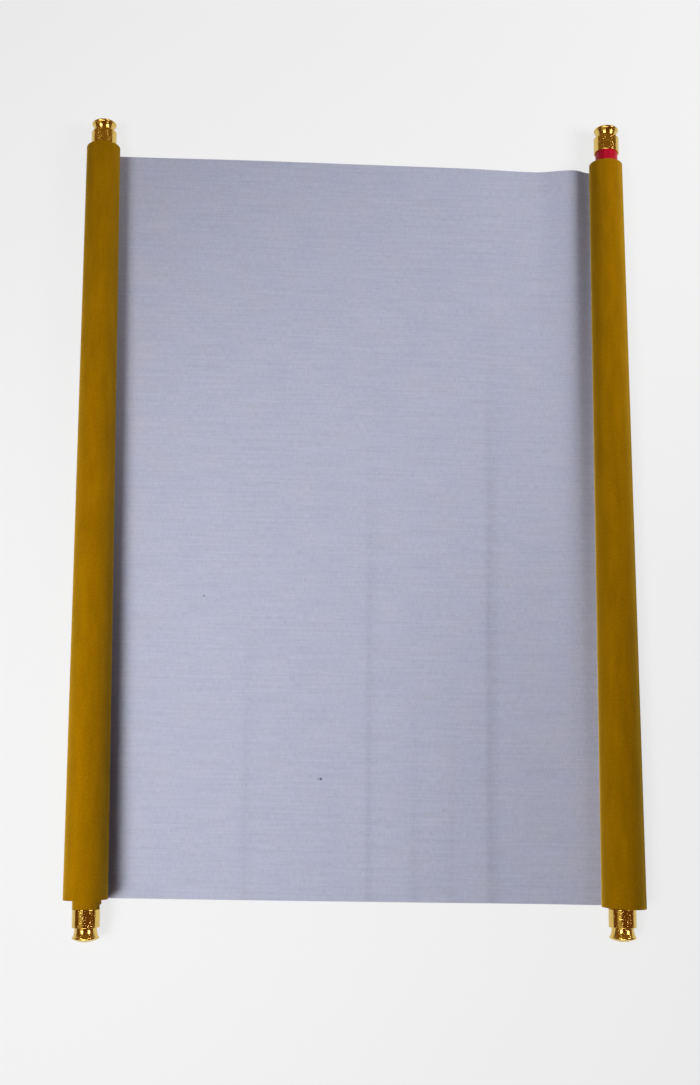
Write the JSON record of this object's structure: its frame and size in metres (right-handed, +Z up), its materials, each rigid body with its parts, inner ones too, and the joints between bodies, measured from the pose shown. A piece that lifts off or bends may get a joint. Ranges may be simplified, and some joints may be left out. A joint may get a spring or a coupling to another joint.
{
  "type": "paper scroll",
  "caption": "Open blank paper scroll lying flat: a velvet-backed sheet wound round a rod at each side, with gold finials on the rod ends, for writing or display.",
  "frame": {"origin": "on the table, under the middle of the overall box", "axes": "+X across the sheet from the left roll to the right one, +Y along the rods to the far end, +Z up"},
  "size_m": [0.3576, 0.5286, 0.027],
  "materials": {
    "face_paper": "matte",
    "velvet": "matte",
    "red_lacquer": "gloss",
    "gold_plate": "polished"
  },
  "bodies": {
    "root": {"face_sheet": "face_paper", "velvet_backing": "velvet", "left_rod": "red_lacquer", "right_rod": "red_lacquer", "left_near_finial": "gold_plate", "left_far_finial": "gold_plate", "right_near_finial": "gold_plate", "right_far_finial": "gold_plate"}
  },
  "joints": []
}
